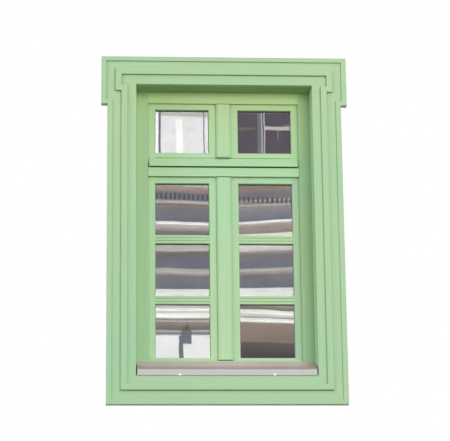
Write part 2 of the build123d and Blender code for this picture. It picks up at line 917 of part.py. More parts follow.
# Seals: a flexible strip on the frame's room face under the overlap of each leaf
with BuildPart() as frame_seals:
    seal_line = leaf_lap + rebate_gap + seal_inset
    foot_line = leaf_lap + toplight_foot_gap + seal_inset
    seal_back = overlap_front - seal_relief
    for lip, foot_margin in (
        (casement_lips[-1], seal_line),
        (casement_lips[1], seal_line),
        (toplight_lip, foot_line),
    ):
        slab(grown(lip, seal_line + seal_width, foot_margin + seal_width), frame_back, seal_back)
    for lip, foot_margin in (
        (casement_lips[-1], seal_line),
        (casement_lips[1], seal_line),
        (toplight_lip, foot_line),
    ):
        slab(grown(lip, seal_line, foot_margin), frame_back, seal_back, Mode.SUBTRACT)
save(frame_seals, "frame_seals")


# Sill: a folded sheet with a drip face in front of the wall, a slope and an upstand against the frame.
sill_nose = -board_thickness - sill_nose_stand + sill_sheet / 2
sill_back = frame_front - sill_sheet / 2
sill_foot = opening_foot - sill_nose_drop
sill_shoulder = opening_foot + sill_nose_height - sill_nose_drop
sill_slope = atan2(sill_rise, sill_back - sill_nose)
sill_half = opening_half - sill_end_gap - end_cap_wall


def sill_level(depth, stand):
    """The height of the sloping sheet at a depth, for a line that stands off its middle."""
    return sill_shoulder + tan(sill_slope) * (depth - sill_nose) + stand / cos(sill_slope)


with BuildPart() as sill:
    with BuildSketch(Plane.YZ.offset(-sill_half)):
        with BuildLine():
            FilletPolyline(
                (sill_nose, sill_foot),
                (sill_nose, sill_shoulder),
                (sill_back, sill_level(sill_back, 0)),
                (sill_back, sill_level(sill_back, 0) + sill_upstand),
                radius=sill_bend,
            )
        trace(line_width=sill_sheet)
    extrude(amount=2 * sill_half)
save(sill, "sill")

with BuildPart() as sill_end_caps:
    cap_stand = (sill_sheet + end_cap_sheet) / 2
    cap_nose = sill_nose - cap_stand
    cap_back = sill_back - cap_stand - end_cap_back_gap
    cap_face = cap_nose - end_cap_sheet / 2
    for side in (-1, 1):
        inner = side * (sill_half + end_cap_wall - end_cap_width)
        with BuildSketch(Plane.YZ.offset(inner)) as strip:
            with BuildLine():
                FilletPolyline(
                    (cap_nose, sill_foot),
                    (cap_nose, sill_level(cap_nose, cap_stand)),
                    (cap_back, sill_level(cap_back, cap_stand)),
                    radius=sill_bend + cap_stand,
                )
            trace(line_width=end_cap_sheet)
        extrude(amount=side * end_cap_width)
        with BuildSketch(Plane.YZ.offset(side * sill_half)) as wall:
            Polygon(
                (cap_face, sill_foot),
                (cap_face, sill_level(cap_face, end_cap_rise)),
                (cap_back, sill_level(cap_back, end_cap_rise)),
                (cap_back, sill_level(cap_back, -end_cap_rise)),
                align=None,
            )
        extrude(amount=side * end_cap_wall)
save(sill_end_caps, "sill_end_caps")

# Clips that hold the drip down: each lies on the surround and hooks round the lower edge of the drip
with BuildPart() as sill_clips:
    nose_back = sill_nose + sill_sheet / 2
    nose_face = sill_nose - sill_sheet / 2
    clip_top = opening_foot + clip_thickness
    clip_foot = sill_foot - clip_thickness
    for side in (-1, 1):
        with BuildSketch(Plane.YZ.offset(side * clip_offset - clip_width / 2)):
            draw((nose_back, nose_back + clip_thickness, clip_foot, clip_top))
            draw((nose_back, -board_thickness + clip_tail, opening_foot, clip_top))
            draw((nose_face - clip_thickness, nose_back + clip_thickness, clip_foot, sill_foot))
            draw((nose_face - clip_thickness, nose_face, clip_foot, sill_foot + clip_hook))
        extrude(amount=clip_width)
save(sill_clips, "sill_clips")
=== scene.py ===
import math

import bpy
from mathutils import Matrix, Vector


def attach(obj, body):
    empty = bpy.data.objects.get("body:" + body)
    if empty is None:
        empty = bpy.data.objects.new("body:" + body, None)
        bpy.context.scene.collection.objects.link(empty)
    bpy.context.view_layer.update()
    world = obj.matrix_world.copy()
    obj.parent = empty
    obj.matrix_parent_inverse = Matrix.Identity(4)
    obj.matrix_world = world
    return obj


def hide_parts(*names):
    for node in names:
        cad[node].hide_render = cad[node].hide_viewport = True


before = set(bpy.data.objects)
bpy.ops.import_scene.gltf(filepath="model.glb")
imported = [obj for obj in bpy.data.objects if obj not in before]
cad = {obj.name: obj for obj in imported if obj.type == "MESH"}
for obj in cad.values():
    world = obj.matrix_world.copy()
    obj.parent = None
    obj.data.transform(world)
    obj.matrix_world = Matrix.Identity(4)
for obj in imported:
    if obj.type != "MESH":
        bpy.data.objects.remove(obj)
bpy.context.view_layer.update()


# The surround round the opening: four boards of painted timber with a raised bead and a raised outer
# fillet, stepping out into ears at the head. Legs and foot are mitred, and the head stands on the legs.
# Painted shade: corners and creases are tinted olive, and sheltered places a warm green, each given by its
# reach out of a corner, in metres, and by its strength there.
surround_green = (183, 216, 173)
crevice_shade_olive = (86, 113, 54)
sheltered_shade_green = (178, 208, 132)
upright_corner_shade = (0.03, 0.4)
level_corner_shade = (0.024, 0.95)
sheltered_shade = (0.07, 0.3)
# Painted warm light: between these heights, in metres, the paint turns towards its head tint on the street
# side of this depth.
warm_light_foot = 1.6
warm_light_head = 1.96
street_side = 0.14


def linear(rgb):
    """A colour picked in sRGB, as the shader takes it."""
    channels = [c / 255 for c in rgb]
    return tuple(c / 12.92 if c <= 0.04045 else ((c + 0.055) / 1.055) ** 2.4 for c in channels) + (1.0,)


def mixed(tree, blend, factor, first, second):
    """A colour mix of two links or plain colours; the factor is a link or a number."""
    mix = tree.nodes.new("ShaderNodeMix")
    mix.data_type = "RGBA"
    mix.blend_type = blend
    for socket, value in ((mix.inputs[0], factor), (mix.inputs[6], first), (mix.inputs[7], second)):
        if isinstance(value, bpy.types.NodeSocket):
            tree.links.new(value, socket)
        else:
            socket.default_value = value
    return mix.outputs[2]


def ranged(tree, value, low, high, to_low, to_high):
    """A value spread from one range to another."""
    spread = tree.nodes.new("ShaderNodeMapRange")
    spread.inputs["From Min"].default_value = low
    spread.inputs["From Max"].default_value = high
    spread.inputs["To Min"].default_value = to_low
    spread.inputs["To Max"].default_value = to_high
    tree.links.new(value, spread.inputs["Value"])
    return spread.outputs["Result"]


def noise(tree, scale, detail, roughness=0.5):
    """Noise in the piece's own metres, with a stretch along each axis."""
    place = tree.nodes.new("ShaderNodeTexCoord")
    stretch = tree.nodes.new("ShaderNodeMapping")
    stretch.inputs["Scale"].default_value = scale
    tree.links.new(place.outputs["Object"], stretch.inputs["Vector"])
    texture = tree.nodes.new("ShaderNodeTexNoise")
    texture.inputs["Scale"].default_value = 1.0
    texture.inputs["Detail"].default_value = detail
    texture.inputs["Roughness"].default_value = roughness
    tree.links.new(stretch.outputs["Vector"], texture.inputs["Vector"])
    return texture.outputs["Fac"]


def position(tree, axis):
    """Where a point of the piece lies along one axis, in metres."""
    place = tree.nodes.new("ShaderNodeTexCoord")
    axes = tree.nodes.new("ShaderNodeSeparateXYZ")
    tree.links.new(place.outputs["Object"], axes.inputs["Vector"])
    return axes.outputs[axis]


def worked(tree, operation, *values):
    """One step of arithmetic on links or plain numbers."""
    step = tree.nodes.new("ShaderNodeMath")
    step.operation = operation
    for socket, value in zip(step.inputs, values):
        if isinstance(value, bpy.types.NodeSocket):
            tree.links.new(value, socket)
        else:
            socket.default_value = value
    return step.outputs["Value"]


def brushed_paint(name, grain, rgb, head_light_tint=None):
    """Satin brushed paint with painted shade in its corners and, if a head tint is given, painted warm light
    at the head.
    """
    material = bpy.data.materials.new(name)
    material.use_nodes = True
    tree = material.node_tree
    shader = tree.nodes["Principled BSDF"]
    along = {"X": (2.2, 70, 70), "Z": (70, 70, 2.2)}[grain]
    fine = tuple(4 * s for s in along)
    drift = ranged(tree, noise(tree, (1.1, 1.1, 1.1), 2), 0.38, 0.62, 0, 1)
    cool = tuple(c * shift for c, shift in zip(rgb, (0.97, 1.0, 1.01)))
    warm = tuple(c * shift for c, shift in zip(rgb, (1.01, 1.0, 0.98)))
    tint = mixed(tree, "MIX", drift, linear(cool), linear(warm))
    if head_light_tint:
        # Painted warm light towards the head of the street side.
        warm_light = ranged(tree, position(tree, "Z"), warm_light_foot, warm_light_head, 0, 1)
        outside = worked(tree, "LESS_THAN", position(tree, "Y"), street_side)
        tint = mixed(tree, "MIX", worked(tree, "MULTIPLY", warm_light, outside), tint, linear(head_light_tint))
    strokes = noise(tree, along, 5, 0.6)
    shade = ranged(tree, strokes, 0.3, 0.7, 0.955, 1.03)
    tint = mixed(tree, "MULTIPLY", 1.0, tint, shade)
    # Painted shade: the paint darkens towards olive in corners and creases, and towards a warm green where
    # the sky is sheltered.
    corner_shades = [(upright_corner_shade if grain == "Z" else level_corner_shade, crevice_shade_olive)]
    if head_light_tint:
        corner_shades.append((sheltered_shade, sheltered_shade_green))
    for (reach, strength), shade_tint in corner_shades:
        corner = tree.nodes.new("ShaderNodeAmbientOcclusion")
        corner.samples = 6
        corner.inputs["Distance"].default_value = reach
        shade_amount = ranged(tree, corner.outputs["AO"], 0.2, 0.75, strength, 0)
        tint = mixed(tree, "MIX", shade_amount, tint, linear(shade_tint))
    tree.links.new(tint, shader.inputs["Base Color"])
    tree.links.new(ranged(tree, strokes, 0.3, 0.7, 0.4, 0.55), shader.inputs["Roughness"])
    shader.inputs["Specular IOR Level"].default_value = 0.3
    bump = tree.nodes.new("ShaderNodeBump")
    bump.inputs["Strength"].default_value = 0.5
    bump.inputs["Distance"].default_value = 0.0004
    tree.links.new(noise(tree, fine, 4, 0.65), bump.inputs["Height"])
    tree.links.new(bump.outputs["Normal"], shader.inputs["Normal"])
    return material


def coat(material, *names):
    """Gives CAD nodes their finish."""
    for name in names:
        cad[name].data.materials.clear()
        cad[name].data.materials.append(material)


coat(brushed_paint("surround paint, upright", "Z", surround_green), "surround_left", "surround_right")
coat(brushed_paint("surround paint, level", "X", surround_green), "surround_head", "surround_bottom")


# The linings of the reveal: plain painted boards from the surround back to the window frame. The side
# boards stand on the foot of the opening and the head board lies on both. The head board is painted
# darker and more olive: painted shade on the soffit.
# The side boards' green is lighter and bluer than the other paint: painted skylight on the shaded reveal.
lining_skylit_green = (198, 238, 206)
lining_head_shade_green = (160, 186, 132)
coat(brushed_paint("lining paint", "Z", lining_skylit_green), "lining_left", "lining_right")
coat(brushed_paint("lining paint, head, painted shade", "X", lining_head_shade_green), "lining_head")


# The fixed frame: rebated jambs, head, transom, bottom rail and mullion of the same painted timber. A
# rounded cover board is planted on the mullion.
frame_green = (174, 206, 160)
# The head greens are yellower than the greens below, and on the frame lighter: painted warm light at the
# head.
jamb_head_green = (184, 212, 155)
frame_head_green = (200, 228, 162)
joinery_green = (192, 225, 178)
leaf_head_green = (196, 225, 168)
paint_upright = brushed_paint("joinery paint, upright", "Z", joinery_green, leaf_head_green)
paint_level = brushed_paint("joinery paint, level", "X", joinery_green, leaf_head_green)
frame_upright = brushed_paint("frame paint, upright", "Z", frame_green, jamb_head_green)
frame_level = brushed_paint("frame paint, level", "X", frame_green, frame_head_green)
coat(frame_upright, "frame_jamb_left", "frame_jamb_right")
coat(frame_level, "frame_head")
coat(paint_upright, "mullion", "mullion_cover")
coat(paint_level, "transom", "frame_bottom_rail")


# The seals: extruded strips of black rubber on the frame's room face, under the overlap of the leaves. Every
# leaf closes against a ring of its own.
def dull(name, rgb, rough, grain_size, depth):
    """A matt moulded finish with a fine grain."""
    material = bpy.data.materials.new(name)
    material.use_nodes = True
    tree = material.node_tree
    shader = tree.nodes["Principled BSDF"]
    grain = noise(tree, (grain_size, grain_size, grain_size), 4)
    shade = ranged(tree, grain, 0.3, 0.7, 0.85, 1.15)
    tree.links.new(mixed(tree, "MULTIPLY", 1.0, linear(rgb), shade), shader.inputs["Base Color"])
    tree.links.new(ranged(tree, grain, 0.3, 0.7, rough - 0.06, rough + 0.06), shader.inputs["Roughness"])
    bump = tree.nodes.new("ShaderNodeBump")
    bump.inputs["Strength"].default_value = 0.4
    bump.inputs["Distance"].default_value = depth
    tree.links.new(grain, bump.inputs["Height"])
    tree.links.new(bump.outputs["Normal"], shader.inputs["Normal"])
    return material


seal_rubber = dull("black seal rubber", (34, 34, 35), rough=0.72, grain_size=900, depth=0.0001)
coat(seal_rubber, "frame_seals")


# The sill: folded sheet metal with a grey-beige coat, an upstand against the frame and a drip face at the
# front. Dust lies thickest towards the drip, rain has drawn streaks down the slope and washed the drip
# face clean, and a thin dark line runs along the bend between the two.
sill_clean = (212, 209, 209)
sill_face = (197, 184, 178)
sill_dust = (168, 153, 149)
sill_bend = (112, 104, 98)
sill_drip_plane = -0.0385
sill_bend_plane = -0.037
sill_bend_reach = 0.0015
sill_bend_strength = 0.2
dust_front = -0.04
dust_back = 0.1
dust_front_strength = 0.85
dust_back_strength = 0.15


def coated_sheet(name):
    """The coat of the sheet, with its dust, streaks, clean drip face and dark bend."""
    material = bpy.data.materials.new(name)
    material.use_nodes = True
    tree = material.node_tree
    shader = tree.nodes["Principled BSDF"]
    depth = position(tree, "Y")
    streaks = noise(tree, (14, 3, 5), 4, 0.55)
    specks = noise(tree, (260, 260, 260), 3)
    lying = ranged(tree, depth, dust_front, dust_back, dust_front_strength, dust_back_strength)
    dust = worked(tree, "ADD", lying, ranged(tree, streaks, 0.35, 0.65, -0.1, 0.1))
    tint = mixed(tree, "MIX", dust, linear(sill_face), linear(sill_dust))
    drip = worked(tree, "LESS_THAN", depth, sill_drip_plane)
    tint = mixed(tree, "MIX", drip, tint, linear(sill_clean))
    bend = worked(tree, "COMPARE", depth, sill_bend_plane, sill_bend_reach)
    bend = worked(tree, "MULTIPLY", bend, sill_bend_strength)
    tint = mixed(tree, "MIX", bend, tint, linear(sill_bend))
    tint = mixed(tree, "MULTIPLY", 1.0, tint, ranged(tree, specks, 0.3, 0.7, 0.96, 1.03))
    tree.links.new(tint, shader.inputs["Base Color"])
    tree.links.new(ranged(tree, streaks, 0.3, 0.7, 0.5, 0.7), shader.inputs["Roughness"])
    shader.inputs["Specular IOR Level"].default_value = 0.15
    bump = tree.nodes.new("ShaderNodeBump")
    bump.inputs["Strength"].default_value = 0.3
    bump.inputs["Distance"].default_value = 0.0003
    tree.links.new(noise(tree, (9, 9, 9), 3), bump.inputs["Height"])
    tree.links.new(bump.outputs["Normal"], shader.inputs["Normal"])
    return material


sill_coat = coated_sheet("grey coated sheet")
coat(sill_coat, "sill", "sill_end_caps")


# The clips that hold the drip down: two strips of bright steel, cut from thin sheet, bent and hooked round
# its lower edge.
def satin_metal(name, rgb, rough, brush):
    """Drawn or ground metal; the brush is the stretch of its fine lines along each axis."""
    material = bpy.data.materials.new(name)
    material.use_nodes = True
    tree = material.node_tree
    shader = tree.nodes["Principled BSDF"]
    shader.inputs["Metallic"].default_value = 1.0
    lines = noise(tree, brush, 4, 0.6)
    tint = mixed(tree, "MULTIPLY", 1.0, linear(rgb), ranged(tree, lines, 0.3, 0.7, 0.9, 1.06))
    tree.links.new(tint, shader.inputs["Base Color"])
    tree.links.new(ranged(tree, lines, 0.3, 0.7, rough - 0.07, rough + 0.08), shader.inputs["Roughness"])
    bump = tree.nodes.new("ShaderNodeBump")
    bump.inputs["Strength"].default_value = 0.25
    bump.inputs["Distance"].default_value = 0.00008
    tree.links.new(lines, bump.inputs["Height"])
    tree.links.new(bump.outputs["Normal"], shader.inputs["Normal"])
    return material


clip_steel = satin_metal("bright clip steel", (236, 236, 234), rough=0.4, brush=(900, 120, 120))
coat(clip_steel, "sill_clips")


# The members of the three leaves: stiles, rails and bars of painted timber, rebated for the glass, with
# a rounded cover strip and a weather bar planted on the top light. The right hinge stile is painted
# darker: painted shade from the right reveal.
hinge_stile_shade_green = (182, 212, 176)
shaded_hinge_upright = brushed_paint("joinery paint, upright, painted shade", "Z", hinge_stile_shade_green, leaf_head_green)
for side, hinge_stile_paint in (("left", paint_upright), ("right", shaded_hinge_upright)):
    coat(hinge_stile_paint, f"casement_{side}_hinge_stile")
    coat(paint_upright, f"casement_{side}_lock_stile", f"toplight_stile_{side}")
    coat(paint_level, f"casement_{side}_top_rail", f"casement_{side}_bottom_rail")
    coat(paint_level, f"casement_{side}_lower_bar", f"casement_{side}_upper_bar")
coat(paint_upright, "toplight_post", "toplight_cover")
coat(paint_level, "toplight_top_rail", "toplight_bottom_rail", "toplight_weather_bar")
coat(paint_upright, "casement_left_beads", "casement_right_beads", "toplight_beads")


# The glass units: two sheets of float glass with a dark spacer between them at each pane. Each outer sheet
# is a little bowed, so that what it mirrors wavers, and its index is raised so that it mirrors strongly.
clear_tint = (237, 239, 238)
outer_index = 1.9
inner_index = 1.15
outer_bow = 0.00012
inner_bow = 0.00004
sheet_depths = (0.153, 0.173)
sheet_thickness = 0.004
sheet_arris = 0.0005
edge_cover = 0.012
spacer_width = 0.015
spacer_depth = 0.157
spacer_length = 0.016
casement_levels = ((0.318, 0.655), (0.709, 1.041), (1.095, 1.43))
toplight_levels = ((1.63, 1.914),)
pane_near = 0.092
pane_far = 0.429


def float_glass(name, index, bow):
    """Clear glass with a thin uneven film on it and a bow that bends what it mirrors."""
    material = bpy.data.materials.new(name)
    material.use_nodes = True
    tree = material.node_tree
    shader = tree.nodes["Principled BSDF"]
    shader.inputs["Transmission Weight"].default_value = 1.0
    shader.inputs["Roughness"].default_value = 0.0
    shader.inputs["IOR"].default_value = index
    film = ranged(tree, noise(tree, (14, 14, 14), 3), 0.3, 0.7, 0.93, 1.0)
    tint = mixed(tree, "MULTIPLY", 1.0, linear(clear_tint), film)
    tree.links.new(tint, shader.inputs["Base Color"])
    bump = tree.nodes.new("ShaderNodeBump")
    bump.inputs["Strength"].default_value = 1.0
    bump.inputs["Distance"].default_value = bow
    tree.links.new(noise(tree, (2.6, 2.6, 3.4), 1), bump.inputs["Height"])
    tree.links.new(bump.outputs["Normal"], shader.inputs["Normal"])
    return material


def alone(piece):
    """Makes one object the only one selected."""
    bpy.ops.object.select_all(action="DESELECT")
    piece.select_set(True)
    bpy.context.view_layer.objects.active = piece


def settled(piece, name):
    """Names a piece and puts its place into its mesh."""
    alone(piece)
    bpy.ops.object.transform_apply(location=True, rotation=True, scale=True)
    piece.name = name
    piece.data.name = name
    return piece


def joined(parts, name):
    """Makes one settled piece of several."""
    alone(parts[0])
    for part in parts:
        part.select_set(True)
    bpy.ops.object.join()
    return settled(bpy.context.object, name)


def block(left, right, front, back, foot, head, softened=0.0):
    """A block between its six faces, with its arrises taken off if it is softened."""
    bpy.ops.object.select_all(action="DESELECT")
    middle = ((left + right) / 2, (front + back) / 2, (foot + head) / 2)
    bpy.ops.mesh.primitive_cube_add(size=1, location=middle)
    piece = bpy.context.object
    piece.scale = (right - left, back - front, head - foot)
    bpy.ops.object.transform_apply(location=True, rotation=True, scale=True)
    if softened:
        bevel = piece.modifiers.new("arris", "BEVEL")
        bevel.width = softened
        bevel.segments = 2
        bpy.ops.object.modifier_apply(modifier="arris")
    return piece


def ring(left, right, foot, head, width, front, back):
    """A flat ring inside a rectangle of the facade, as thick as the two depths are apart."""
    bpy.ops.object.select_all(action="DESELECT")
    middle = ((left + right) / 2, front, (foot + head) / 2)
    bpy.ops.mesh.primitive_plane_add(size=1, location=middle, rotation=(math.pi / 2, 0, 0))
    piece = bpy.context.object
    piece.scale = (right - left, head - foot, 1)
    bpy.ops.object.transform_apply(location=True, rotation=True, scale=True)
    bpy.ops.object.mode_set(mode="EDIT")
    bpy.ops.mesh.select_all(action="SELECT")
    bpy.ops.mesh.inset(thickness=width, depth=0)
    bpy.ops.mesh.delete(type="FACE")
    bpy.ops.object.mode_set(mode="OBJECT")
    wall = piece.modifiers.new("wall", "SOLIDIFY")
    wall.thickness = back - front
    wall.offset = -1
    bpy.ops.object.modifier_apply(modifier="wall")
    return piece


def panes_of(sides, levels):
    """The clear rectangles of a leaf, each as left, right, foot and head."""
    spans = [tuple(sorted((side * pane_near, side * pane_far))) for side in sides]
    return [(left, right, foot, head) for left, right in spans for foot, head in levels]


glazed_leaves = {
    "casement_left": panes_of((-1,), casement_levels),
    "casement_right": panes_of((1,), casement_levels),
    "toplight": panes_of((-1, 1), toplight_levels),
}
outer_glass = float_glass("outer float glass", outer_index, outer_bow)
inner_glass = float_glass("inner float glass", inner_index, inner_bow)
glass_sheets = (("outer", sheet_depths[0], outer_glass), ("inner", sheet_depths[1], inner_glass))
for leaf, panes in glazed_leaves.items():
    for label, depth, glass in glass_sheets:
        sheets = [
            block(
                left - edge_cover,
                right + edge_cover,
                depth,
                depth + sheet_thickness,
                foot - edge_cover,
                head + edge_cover,
                sheet_arris,
            )
            for left, right, foot, head in panes
        ]
        sheet = joined(sheets, f"{leaf}_{label}_sheets")
        sheet.data.materials.append(glass)
        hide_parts(f"{leaf}_panes")
        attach(sheet, leaf)

spacer_plastic = dull("dark spacer", (52, 50, 50), rough=0.5, grain_size=500, depth=0.00005)
for leaf, panes in glazed_leaves.items():
    rings = [
        ring(
            left - edge_cover,
            right + edge_cover,
            foot - edge_cover,
            head + edge_cover,
            spacer_width,
            spacer_depth,
            spacer_depth + spacer_length,
        )
        for left, right, foot, head in panes
    ]
    spacers = joined(rings, f"{leaf}_spacers")
    spacers.data.materials.append(spacer_plastic)
    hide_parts(f"{leaf}_panes")
    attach(spacers, leaf)


# The bedding of the glass: a thin line of sealant between the timber and the outer sheet, on the street
# side of every pane, painted over with the timber.
sealant = dull("painted sealant", (128, 150, 116), rough=0.6, grain_size=300, depth=0.00005)
bead_line = 0.002
for leaf, panes in glazed_leaves.items():
    lines = [
        ring(left, right, foot, head, bead_line, sheet_depths[0] - bead_line, sheet_depths[0])
        for left, right, foot, head in panes
    ]
    bedding = joined(lines, f"{leaf}_bedding")
    bedding.data.materials.append(sealant)
    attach(bedding, leaf)


# The hinges: turned barrels of ground steel, with the pins that join them and the studs that stand in the
# timber. The leaf halves of the top light end in plates that are screwed to its room face.
hinge_steel = satin_metal("ground hinge steel", (196, 196, 194), rough=0.32, brush=(500, 500, 90))
coat(hinge_steel, "casement_hinge_frame_halves", "toplight_hinge_frame_halves", "toplight_hinge_halves")
coat(hinge_steel, "casement_left_hinge_halves", "casement_right_hinge_halves")


# The levers and roses: cast aluminium, ground satin and anodised to a dark bronze. Each rose is screwed to
# the timber, and the lever's spindle turns in it.
handle_metal = satin_metal("dark bronze aluminium", (82, 72, 62), rough=0.36, brush=(120, 400, 400))
coat(handle_metal, "casement_left_handle", "casement_right_handle", "toplight_handle")
coat(handle_metal, "casement_left_rose", "casement_right_rose", "toplight_rose")


# The screws: small slotted heads, turned from steel and sunk till their faces lie almost flush. Two hold
# each rose and are finished like it, and two hold each hinge plate of the top light.
screw_radius = 0.0028
screw_depth = 0.002
screw_stand = 0.0004
screw_rim = 0.0003
slot_width = 0.0008
slot_depth = 0.0007
rose_face = 0.209
plate_face = 0.203
lever_offset = 0.055
lever_height = 0.88
lever_screw_rise = 0.024
latch_height = 1.939
latch_screw_reach = 0.0125
plate_height = 1.518
plate_screw_offsets = (0.464, 0.486)

bpy.ops.object.select_all(action="DESELECT")
bpy.ops.mesh.primitive_cylinder_add(
    vertices=28,
    radius=screw_radius,
    depth=screw_depth,
    location=(0, screw_stand - screw_depth / 2, 0),
    rotation=(math.pi / 2, 0, 0),
)
screw = bpy.context.object
rim = screw.modifiers.new("rim", "BEVEL")
rim.width = screw_rim
rim.segments = 2
rim.limit_method = "ANGLE"
bpy.ops.object.modifier_apply(modifier="rim")
slot_face = screw_stand - slot_depth
cutter = block(-screw_radius, screw_radius, slot_face, screw_stand * 2, -slot_width / 2, slot_width / 2)
alone(screw)
slot = screw.modifiers.new("slot", "BOOLEAN")
slot.operation = "DIFFERENCE"
slot.object = cutter
bpy.ops.object.modifier_apply(modifier="slot")
alone(cutter)
bpy.ops.object.delete()
settled(screw, "screw")


def screwed(places, turns, name, material, body):
    """Copies the screw to each place, its slot turned by as many degrees, and joins the copies."""
    copies = []
    for place, degrees in zip(places, turns):
        alone(screw)
        bpy.ops.object.duplicate(linked=False)
        copy = bpy.context.object
        copy.rotation_euler = (0, math.radians(degrees), 0)
        copy.location = place
        copies.append(copy)
    piece = joined(copies, name)
    alone(piece)
    bpy.ops.object.shade_smooth_by_angle(angle=math.radians(40))
    piece.data.materials.clear()
    piece.data.materials.append(material)
    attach(piece, body)


screw_steel = satin_metal("turned screw steel", (150, 148, 144), rough=0.34, brush=(400, 400, 400))
for side, x in (("left", -lever_offset), ("right", lever_offset)):
    rose_screws = [(x, rose_face, lever_height + rise) for rise in (-lever_screw_rise, lever_screw_rise)]
    screwed(rose_screws, (20, 70), f"rose_screws_{side}", handle_metal, f"casement_{side}")
latch_screws = [(x, rose_face, latch_height) for x in (-latch_screw_reach, latch_screw_reach)]
screwed(latch_screws, (35, -15), "rose_screws_toplight", handle_metal, "toplight")
plate_screws = [(side * x, plate_face, plate_height) for side in (-1, 1) for x in plate_screw_offsets]
screwed(plate_screws, (10, 55, -30, 80), "hinge_plate_screws", screw_steel, "toplight")
alone(screw)
bpy.ops.object.delete()


# The lock: rods with cams in the edges of the lock stiles, keeps on the mullion, and the tongue and keep
# of the top light, all of zinc-plated steel.
lock_steel = satin_metal("plated lock steel", (188, 186, 178), rough=0.36, brush=(300, 300, 60))
coat(lock_steel, "casement_left_rod", "casement_right_rod", "lock_keeps")
coat(lock_steel, "toplight_keep", "toplight_tongue")


# The stage: a pale floor at street level and a white surrounding. A card far out in the street, laid in
# bands of a few plain finishes, gives the panes something to mirror, and a dark one stands for the room.
white_trim = (255, 254, 251)
pale_stone = (190, 184, 179)
warm_clay = (142, 127, 117)
blue_shade = (110, 113, 125)
brown_gap = (108, 99, 94)
pale_sky = (233, 233, 234)
plum_shade = (86, 80, 88)

# The bands that the left and the right panes mirror, each from the height in the window where it begins.
street_left = (
    (0.455, pale_sky), (0.464, blue_shade), (0.482, pale_stone), (0.494, brown_gap), (0.545, pale_stone),
    (0.561, brown_gap), (0.57, white_trim), (0.603, pale_stone), (0.615, white_trim), (0.634, pale_stone),
    (0.68, white_trim), (0.757, blue_shade), (0.835, warm_clay), (0.85, pale_stone), (0.88, blue_shade),
    (0.98, brown_gap), (1.0, pale_stone), (1.06, blue_shade), (1.122, warm_clay), (1.163, white_trim),
    (1.184, blue_shade), (1.28, warm_clay), (1.292, brown_gap), (1.305, pale_stone), (1.32, blue_shade),
    (1.38, warm_clay), (1.418, pale_stone), (1.44, warm_clay), (1.5, pale_sky), (1.863, pale_sky),
    (1.873, pale_stone),
)
street_right = (
    (0.3, plum_shade), (0.425, warm_clay), (0.545, warm_clay), (0.553, white_trim), (0.577, brown_gap),
    (0.583, pale_stone), (0.6, white_trim), (0.63, brown_gap), (0.68, white_trim), (0.761, blue_shade),
    (0.85, warm_clay), (0.868, pale_stone), (0.89, blue_shade), (0.98, warm_clay), (0.995, pale_stone),
    (1.04, white_trim), (1.112, warm_clay), (1.16, pale_stone), (1.168, warm_clay), (1.176, pale_stone),
    (1.18, white_trim), (1.197, blue_shade), (1.29, pale_stone), (1.3, brown_gap), (1.32, pale_stone),
    (1.33, warm_clay), (1.338, blue_shade), (1.384, warm_clay), (1.5, plum_shade),
)
band_foot = 0.3
band_head = 1.93
band_softness = 0.35

# The leans, the lift and the fading run from one height to another, each with its value at both.
right_lean = (0.64, 0.9, 0.03, -0.055)
right_lift = (0.72, 0.9, 0, 0.014)
right_fading = (0.28, 0.5, 0.5, 1.0)
left_lean = (1.18, 1.34, 0, 0.045)
left_lean_middle = -0.26

# Upright and level shapes before the bands, each as left, right, foot, head and finish.
street_shapes = (
    (-0.425, -0.412, 1.6, 1.94, white_trim), (-0.406, -0.393, 1.6, 1.94, blue_shade),
    (-0.298, -0.256, 1.6, 1.86, white_trim), (-0.124, -0.117, 1.6, 1.94, blue_shade),
    (0.08, 0.21, 1.79, 1.807, brown_gap), (0.221, 0.244, 1.6, 1.9, blue_shade),
    (0.245, 0.252, 1.6, 1.9, pale_stone), (0.26, 0.267, 1.6, 1.94, pale_stone),
    (0.26, 0.46, 1.795, 1.818, pale_stone), (0.385, 0.44, 1.818, 1.832, blue_shade),
    (0.343, 0.355, 1.74, 1.795, blue_shade), (-0.284, -0.257, 0.3, 0.46, blue_shade),
    (-0.27, -0.205, 0.405, 0.5, blue_shade), (-0.26, -0.215, 0.49, 0.52, brown_gap),
    (-0.242, -0.225, 0.51, 0.54, brown_gap),
)
blocks_middle = 1.352
blocks_height = 0.04
blocks_pitch = 0.029
blocks_strength = 0.9

# The bands lie larger on the card than in the window, by the scale, because it stands far out. The shift
# and the rise set them off to match.
street_far = -12.2
street_width = 7
street_height = 6
street_middle = (0.77, street_far, 4.45)
street_scale = 2.053
street_shift = 0.766
street_rise = 2.161
street_glow = 6.05
street_waver = 0.012
street_blotches = (0.88, 1.05)
room_width = 4.2
room_height = 4.6
room_middle = (0, 0.95, 1.1)
floor_size = 60
floor_level = -2.5


def plain(name, rgb, strength):
    """A plain stage finish that also gives a little light of its own."""
    material = bpy.data.materials.new(name)
    material.use_nodes = True
    shader = material.node_tree.nodes["Principled BSDF"]
    shader.inputs["Base Color"].default_value = linear(rgb)
    shader.inputs["Roughness"].default_value = 0.9
    shader.inputs["Emission Color"].default_value = linear(rgb)
    shader.inputs["Emission Strength"].default_value = strength
    return material


def banded(tree, height, bands):
    """Bands laid one on another, each shading off a little towards the next."""
    ramps = []
    for interpolation in ("CONSTANT", "LINEAR"):
        ramp = tree.nodes.new("ShaderNodeValToRGB")
        ramp.color_ramp.interpolation = interpolation
        stops = ramp.color_ramp.elements
        while len(stops) < len(bands):
            stops.new(1.0)
        for stop, (level, rgb) in zip(stops, bands):
            stop.position = (level - band_foot) / (band_head - band_foot)
            stop.color = linear(rgb)
        tree.links.new(ranged(tree, height, band_foot, band_head, 0, 1), ramp.inputs["Fac"])
        ramps.append(ramp.outputs["Color"])
    return mixed(tree, "MIX", band_softness, *ramps)


